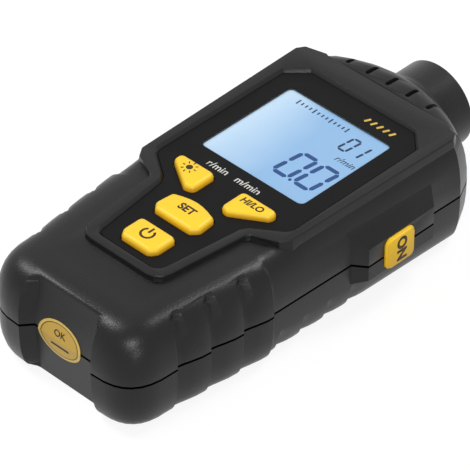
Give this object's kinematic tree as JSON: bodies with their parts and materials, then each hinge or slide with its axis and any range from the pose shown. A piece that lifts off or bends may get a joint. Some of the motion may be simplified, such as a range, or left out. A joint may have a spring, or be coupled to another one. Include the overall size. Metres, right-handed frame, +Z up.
{
  "type": "handheld laser tachometer",
  "caption": "Handheld optical tachometer with a two-part moulded housing, display panel, push keys, side button, round light barrel and battery bay.",
  "frame": {"origin": "on the flat underside, on the middle plane, half way along the length", "axes": "+Y along the length towards the light barrel, +Z up through the display, +X to the side button"},
  "size_m": [0.0732, 0.1558, 0.037],
  "materials": {
    "case_plastic": "spark-eroded texture",
    "panel_plastic": "fine satin",
    "clear_window": "clear",
    "display_cell": "lit",
    "light_guide": "clear moulded",
    "contact_rubber": "matt",
    "circuit_board": "solder mask",
    "chip_black": "moulded",
    "screw_steel": "plated",
    "key_yellow": "satin",
    "nose_plastic": "satin",
    "lens_glass": "polished",
    "laser_brass": "turned",
    "cell_sleeve": "printed sleeve",
    "seal_foil": "printed foil"
  },
  "bodies": {
    "housing": {"top_case": "case_plastic", "bottom_case": "case_plastic", "face_plate": "panel_plastic", "lcd_window": "clear_window", "lcd_glass": "display_cell", "lcd_backlight": "light_guide", "zebra_strip": "contact_rubber", "main_board": "circuit_board", "controller_chip": "chip_black", "board_screws": "screw_steel", "key_switches": "chip_black", "side_switch": "chip_black", "nose_housing": "nose_plastic", "lens_ring": "nose_plastic", "front_lens": "lens_glass", "sensor_holder": "chip_black", "laser_module": "laser_brass", "light_sensor": "chip_black", "battery_cells": "cell_sleeve", "battery_springs": "screw_steel", "battery_contacts": "screw_steel", "case_screws": "screw_steel", "inspection_seal": "seal_foil"},
    "power_key": {"power_key": "key_yellow"},
    "select_key": {"select_key": "key_yellow"},
    "light_key": {"light_key": "key_yellow"},
    "max_min_key": {"max_min_key": "key_yellow"},
    "test_key": {"test_key": "key_yellow"},
    "battery_door": {"battery_door": "case_plastic"}
  },
  "joints": [
    {"name": "power_press", "type": "slide", "parent": "housing", "child": "power_key", "axis": [0, 0, -1], "range_m": [0, 0.0005], "stiffness_N_per_m": 1500},
    {"name": "select_press", "type": "slide", "parent": "housing", "child": "select_key", "axis": [0, 0, -1], "range_m": [0, 0.0005], "stiffness_N_per_m": 1500},
    {"name": "light_press", "type": "slide", "parent": "housing", "child": "light_key", "axis": [0, 0, -1], "range_m": [0, 0.0005], "stiffness_N_per_m": 1500},
    {"name": "max_min_press", "type": "slide", "parent": "housing", "child": "max_min_key", "axis": [0, 0, -1], "range_m": [0, 0.0005], "stiffness_N_per_m": 1500},
    {"name": "test_press", "type": "slide", "parent": "housing", "child": "test_key", "axis": [-1, 0, 0], "range_m": [0, 0.0005], "stiffness_N_per_m": 1500},
    {"name": "door_lift", "type": "slide", "parent": "housing", "child": "battery_door", "axis": [0, 0, -1], "range_m": [0, 0.03]}
  ]
}
